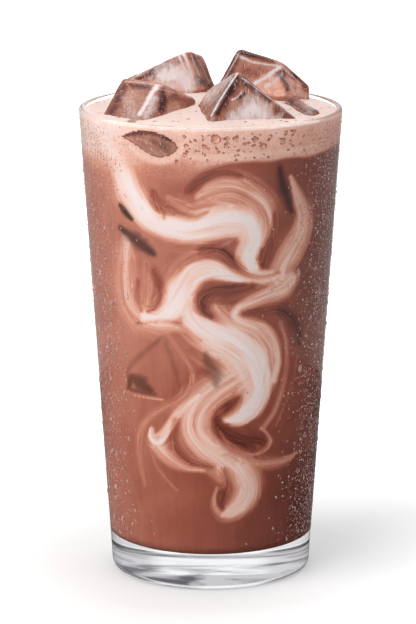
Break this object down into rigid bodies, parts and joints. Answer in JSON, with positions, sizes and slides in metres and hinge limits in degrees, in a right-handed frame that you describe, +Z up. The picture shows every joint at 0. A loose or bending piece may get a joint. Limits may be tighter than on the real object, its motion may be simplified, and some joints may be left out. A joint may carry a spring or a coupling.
{
  "type": "iced cocoa in a glass",
  "caption": "Tall tapered clear glass with a thick base, full of milky iced cocoa under a layer of foam, with half-melted blocks of ice standing out of the top.",
  "frame": {"origin": "middle of the foot, on the surface that the glass stands on", "axes": "+Z up along the axis of the glass, +X to the right and +Y away from whoever looks at the front"},
  "size_m": [0.0832, 0.0832, 0.1662],
  "materials": {
    "glass": "clear polished soda-lime glass",
    "cocoa": "milky cocoa with paler swirls of milk",
    "foam": "fine pale cocoa foam",
    "ice": "half-melted cloudy ice"
  },
  "bodies": {
    "root": {"glass": "glass", "cocoa": "cocoa", "foam": "foam", "ice_back_left": "ice", "ice_back_right": "ice", "ice_front_left": "ice", "ice_front_right": "ice", "ice_small_right": "ice"}
  },
  "joints": []
}
